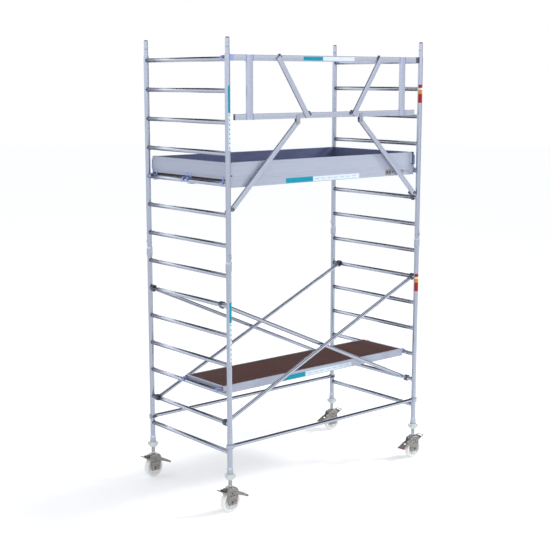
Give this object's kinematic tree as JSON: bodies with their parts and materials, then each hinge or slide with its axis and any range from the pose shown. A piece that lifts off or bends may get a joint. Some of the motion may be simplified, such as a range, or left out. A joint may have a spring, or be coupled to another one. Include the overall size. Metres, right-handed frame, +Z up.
{
  "type": "mobile tower scaffold",
  "caption": "Mobile aluminium tower scaffold with ladder frames, clip-on braces, decks, toe boards, front guardrail and braked swivel castors with screw height adjustment.",
  "frame": {"origin": "middle of the tower on the floor", "axes": "+X along the decks to the right, +Y from the guardrail side to the rear, +Z up"},
  "size_m": [2.762, 1.38, 4.413],
  "materials": {
    "aluminium": "satin, extruded and welded",
    "phenolic_plywood": "brown film-faced, matt",
    "zinc_plated_steel": "bright zinc",
    "galvanised_steel": "dull zinc",
    "cast_alloy": "pale grey-green casting",
    "white_nylon": "off-white moulded",
    "dark_grey_casting": "dark grey, matt"
  },
  "bodies": {
    "tower": {"lower_frame_left": "aluminium", "lower_frame_right": "aluminium", "upper_frame_left": "aluminium", "upper_frame_right": "aluminium", "brace_front_inner": "aluminium", "brace_front_outer": "aluminium", "brace_rear_outer": "aluminium", "brace_rear_inner": "aluminium", "brace_front_level": "aluminium", "brace_rear_level": "aluminium", "lower_deck_frame": "aluminium", "lower_deck_board": "phenolic_plywood", "front_deck_frame": "aluminium", "front_deck_board": "phenolic_plywood", "hatch_deck_frame": "aluminium", "hatch_deck_board": "phenolic_plywood", "toe_board_front": "aluminium", "toe_board_rear": "aluminium", "toe_board_left": "aluminium", "toe_board_right": "aluminium", "guardrail_frame": "aluminium"},
    "spindle_front_left": {"spindle_front_left": "zinc_plated_steel"},
    "nut_front_left": {"adjusting_nut_front_left": "cast_alloy"},
    "fork_front_left": {"castor_fork_front_left": "galvanised_steel"},
    "wheel_front_left": {"castor_wheel_front_left": "white_nylon"},
    "brake_front_left": {"brake_rocker_front_left": "galvanised_steel"},
    "pin_front_left": {"lock_pin_front_left": "zinc_plated_steel"},
    "spindle_front_right": {"spindle_front_right": "zinc_plated_steel"},
    "nut_front_right": {"adjusting_nut_front_right": "cast_alloy"},
    "fork_front_right": {"castor_fork_front_right": "galvanised_steel"},
    "wheel_front_right": {"castor_wheel_front_right": "white_nylon"},
    "brake_front_right": {"brake_rocker_front_right": "galvanised_steel"},
    "pin_front_right": {"lock_pin_front_right": "zinc_plated_steel"},
    "spindle_rear_left": {"spindle_rear_left": "zinc_plated_steel"},
    "nut_rear_left": {"adjusting_nut_rear_left": "cast_alloy"},
    "fork_rear_left": {"castor_fork_rear_left": "galvanised_steel"},
    "wheel_rear_left": {"castor_wheel_rear_left": "white_nylon"},
    "brake_rear_left": {"brake_rocker_rear_left": "galvanised_steel"},
    "pin_rear_left": {"lock_pin_rear_left": "zinc_plated_steel"},
    "spindle_rear_right": {"spindle_rear_right": "zinc_plated_steel"},
    "nut_rear_right": {"adjusting_nut_rear_right": "cast_alloy"},
    "fork_rear_right": {"castor_fork_rear_right": "galvanised_steel"},
    "wheel_rear_right": {"castor_wheel_rear_right": "white_nylon"},
    "brake_rear_right": {"brake_rocker_rear_right": "galvanised_steel"},
    "pin_rear_right": {"lock_pin_rear_right": "zinc_plated_steel"},
    "brace_front_inner_catch_a": {"brace_front_inner_catch_a": "dark_grey_casting"},
    "brace_front_inner_catch_b": {"brace_front_inner_catch_b": "dark_grey_casting"},
    "brace_front_outer_catch_a": {"brace_front_outer_catch_a": "dark_grey_casting"},
    "brace_front_outer_catch_b": {"brace_front_outer_catch_b": "dark_grey_casting"},
    "brace_rear_outer_catch_a": {"brace_rear_outer_catch_a": "dark_grey_casting"},
    "brace_rear_outer_catch_b": {"brace_rear_outer_catch_b": "dark_grey_casting"},
    "brace_rear_inner_catch_a": {"brace_rear_inner_catch_a": "dark_grey_casting"},
    "brace_rear_inner_catch_b": {"brace_rear_inner_catch_b": "dark_grey_casting"},
    "brace_front_level_catch_a": {"brace_front_level_catch_a": "dark_grey_casting"},
    "brace_front_level_catch_b": {"brace_front_level_catch_b": "dark_grey_casting"},
    "brace_rear_level_catch_a": {"brace_rear_level_catch_a": "dark_grey_casting"},
    "brace_rear_level_catch_b": {"brace_rear_level_catch_b": "dark_grey_casting"},
    "hatch": {"hatch": "phenolic_plywood"},
    "stay_left": {"guardrail_stay_left": "aluminium"},
    "stay_right": {"guardrail_stay_right": "aluminium"}
  },
  "joints": [
    {"name": "height_front_left", "type": "slide", "parent": "tower", "child": "spindle_front_left", "axis": [0, 0, 1], "range_m": [-0.25, 0.07]},
    {"name": "nut_turn_front_left", "type": "hinge", "parent": "tower", "child": "nut_front_left", "pos_m": [-1.25, -0.645, 0.35], "axis": [0, 0, 1], "range_deg": [-3170, 11270]},
    {"name": "swivel_front_left", "type": "hinge", "parent": "spindle_front_left", "child": "fork_front_left", "pos_m": [-1.25, -0.645, 0.2105], "axis": [0, 0, 1], "continuous": true},
    {"name": "roll_front_left", "type": "hinge", "parent": "fork_front_left", "child": "wheel_front_left", "pos_m": [-1.25, -0.645, 0.1], "axis": [0, 1, 0], "continuous": true},
    {"name": "brake_front_left", "type": "hinge", "parent": "fork_front_left", "child": "brake_front_left", "pos_m": [-1.25, -0.645, 0.188], "axis": [0, 1, 0], "range_deg": [0, 5]},
    {"name": "pin_pull_front_left", "type": "slide", "parent": "tower", "child": "pin_front_left", "axis": [0, -1, 0], "range_m": [0, 0.09]},
    {"name": "height_front_right", "type": "slide", "parent": "tower", "child": "spindle_front_right", "axis": [0, 0, 1], "range_m": [-0.25, 0.07]},
    {"name": "nut_turn_front_right", "type": "hinge", "parent": "tower", "child": "nut_front_right", "pos_m": [1.25, -0.645, 0.35], "axis": [0, 0, 1], "range_deg": [-3170, 11270]},
    {"name": "swivel_front_right", "type": "hinge", "parent": "spindle_front_right", "child": "fork_front_right", "pos_m": [1.25, -0.645, 0.2105], "axis": [0, 0, 1], "continuous": true},
    {"name": "roll_front_right", "type": "hinge", "parent": "fork_front_right", "child": "wheel_front_right", "pos_m": [1.25, -0.645, 0.1], "axis": [0, 1, 0], "continuous": true},
    {"name": "brake_front_right", "type": "hinge", "parent": "fork_front_right", "child": "brake_front_right", "pos_m": [1.25, -0.645, 0.188], "axis": [0, -1, 0], "range_deg": [0, 5]},
    {"name": "pin_pull_front_right", "type": "slide", "parent": "tower", "child": "pin_front_right", "axis": [0, -1, 0], "range_m": [0, 0.09]},
    {"name": "height_rear_left", "type": "slide", "parent": "tower", "child": "spindle_rear_left", "axis": [0, 0, 1], "range_m": [-0.25, 0.07]},
    {"name": "nut_turn_rear_left", "type": "hinge", "parent": "tower", "child": "nut_rear_left", "pos_m": [-1.25, 0.645, 0.35], "axis": [0, 0, 1], "range_deg": [-3170, 11270]},
    {"name": "swivel_rear_left", "type": "hinge", "parent": "spindle_rear_left", "child": "fork_rear_left", "pos_m": [-1.25, 0.645, 0.2105], "axis": [0, 0, 1], "continuous": true},
    {"name": "roll_rear_left", "type": "hinge", "parent": "fork_rear_left", "child": "wheel_rear_left", "pos_m": [-1.25, 0.645, 0.1], "axis": [0, 1, 0], "continuous": true},
    {"name": "brake_rear_left", "type": "hinge", "parent": "fork_rear_left", "child": "brake_rear_left", "pos_m": [-1.25, 0.645, 0.188], "axis": [0, 1, 0], "range_deg": [0, 5]},
    {"name": "pin_pull_rear_left", "type": "slide", "parent": "tower", "child": "pin_rear_left", "axis": [0, 1, 0], "range_m": [0, 0.09]},
    {"name": "height_rear_right", "type": "slide", "parent": "tower", "child": "spindle_rear_right", "axis": [0, 0, 1], "range_m": [-0.25, 0.07]},
    {"name": "nut_turn_rear_right", "type": "hinge", "parent": "tower", "child": "nut_rear_right", "pos_m": [1.25, 0.645, 0.35], "axis": [0, 0, 1], "range_deg": [-3170, 11270]},
    {"name": "swivel_rear_right", "type": "hinge", "parent": "spindle_rear_right", "child": "fork_rear_right", "pos_m": [1.25, 0.645, 0.2105], "axis": [0, 0, 1], "continuous": true},
    {"name": "roll_rear_right", "type": "hinge", "parent": "fork_rear_right", "child": "wheel_rear_right", "pos_m": [1.25, 0.645, 0.1], "axis": [0, 1, 0], "continuous": true},
    {"name": "brake_rear_right", "type": "hinge", "parent": "fork_rear_right", "child": "brake_rear_right", "pos_m": [1.25, 0.645, 0.188], "axis": [0, -1, 0], "range_deg": [0, 5]},
    {"name": "pin_pull_rear_right", "type": "slide", "parent": "tower", "child": "pin_rear_right", "axis": [0, 1, 0], "range_m": [0, 0.09]},
    {"name": "brace_front_inner_catch_a_open", "type": "hinge", "parent": "tower", "child": "brace_front_inner_catch_a", "pos_m": [-1.24117, -0.54, 1.94893], "axis": [0, -1, 0], "range_deg": [0, 35], "stiffness_Nm_per_rad": 0.03, "springref_deg": -20.05},
    {"name": "brace_front_inner_catch_b_open", "type": "hinge", "parent": "tower", "child": "brace_front_inner_catch_b", "pos_m": [1.22094, -0.54, 0.84591], "axis": [0, 1, 0], "range_deg": [0, 35], "stiffness_Nm_per_rad": 0.03, "springref_deg": -20.05},
    {"name": "brace_front_outer_catch_a_open", "type": "hinge", "parent": "tower", "child": "brace_front_outer_catch_a", "pos_m": [1.24117, -0.59, 1.94893], "axis": [0, 1, 0], "range_deg": [0, 35], "stiffness_Nm_per_rad": 0.03, "springref_deg": -20.05},
    {"name": "brace_front_outer_catch_b_open", "type": "hinge", "parent": "tower", "child": "brace_front_outer_catch_b", "pos_m": [-1.22094, -0.59, 0.84591], "axis": [0, -1, 0], "range_deg": [0, 35], "stiffness_Nm_per_rad": 0.03, "springref_deg": -20.05},
    {"name": "brace_rear_outer_catch_a_open", "type": "hinge", "parent": "tower", "child": "brace_rear_outer_catch_a", "pos_m": [-1.24117, 0.59, 1.94893], "axis": [0, -1, 0], "range_deg": [0, 35], "stiffness_Nm_per_rad": 0.03, "springref_deg": -20.05},
    {"name": "brace_rear_outer_catch_b_open", "type": "hinge", "parent": "tower", "child": "brace_rear_outer_catch_b", "pos_m": [1.22094, 0.59, 0.84591], "axis": [0, 1, 0], "range_deg": [0, 35], "stiffness_Nm_per_rad": 0.03, "springref_deg": -20.05},
    {"name": "brace_rear_inner_catch_a_open", "type": "hinge", "parent": "tower", "child": "brace_rear_inner_catch_a", "pos_m": [1.24117, 0.54, 1.94893], "axis": [0, 1, 0], "range_deg": [0, 35], "stiffness_Nm_per_rad": 0.03, "springref_deg": -20.05},
    {"name": "brace_rear_inner_catch_b_open", "type": "hinge", "parent": "tower", "child": "brace_rear_inner_catch_b", "pos_m": [-1.22094, 0.54, 0.84591], "axis": [0, -1, 0], "range_deg": [0, 35], "stiffness_Nm_per_rad": 0.03, "springref_deg": -20.05},
    {"name": "brace_front_level_catch_a_open", "type": "hinge", "parent": "tower", "child": "brace_front_level_catch_a", "pos_m": [-1.22699, -0.61758, 0.64], "axis": [0, 0, -1], "range_deg": [0, 35], "stiffness_Nm_per_rad": 0.03, "springref_deg": -20.05},
    {"name": "brace_front_level_catch_b_open", "type": "hinge", "parent": "tower", "child": "brace_front_level_catch_b", "pos_m": [1.22699, -0.61758, 0.64], "axis": [0, 0, 1], "range_deg": [0, 35], "stiffness_Nm_per_rad": 0.03, "springref_deg": -20.05},
    {"name": "brace_rear_level_catch_a_open", "type": "hinge", "parent": "tower", "child": "brace_rear_level_catch_a", "pos_m": [-1.22699, 0.61758, 0.64], "axis": [0, 0, 1], "range_deg": [0, 35], "stiffness_Nm_per_rad": 0.03, "springref_deg": -20.05},
    {"name": "brace_rear_level_catch_b_open", "type": "hinge", "parent": "tower", "child": "brace_rear_level_catch_b", "pos_m": [1.22699, 0.61758, 0.64], "axis": [0, 0, -1], "range_deg": [0, 35], "stiffness_Nm_per_rad": 0.03, "springref_deg": -20.05},
    {"name": "hatch_lift", "type": "hinge", "parent": "tower", "child": "hatch", "pos_m": [0.665, 0.5515, 3.14], "axis": [-1, 0, 0], "range_deg": [0, 90]},
    {"name": "stay_fold_left", "type": "hinge", "parent": "tower", "child": "stay_left", "pos_m": [-0.412, -0.635, 3.643], "axis": [0, -1, 0], "range_deg": [0, 45]},
    {"name": "stay_fold_right", "type": "hinge", "parent": "tower", "child": "stay_right", "pos_m": [0.412, -0.635, 3.643], "axis": [0, 1, 0], "range_deg": [0, 45]}
  ],
  "couplings": [
    {"joint": "nut_turn_front_left", "follows": "height_front_left", "rad_per_m": -785.4},
    {"joint": "nut_turn_front_right", "follows": "height_front_right", "rad_per_m": -785.4},
    {"joint": "nut_turn_rear_left", "follows": "height_rear_left", "rad_per_m": -785.4},
    {"joint": "nut_turn_rear_right", "follows": "height_rear_right", "rad_per_m": -785.4}
  ]
}
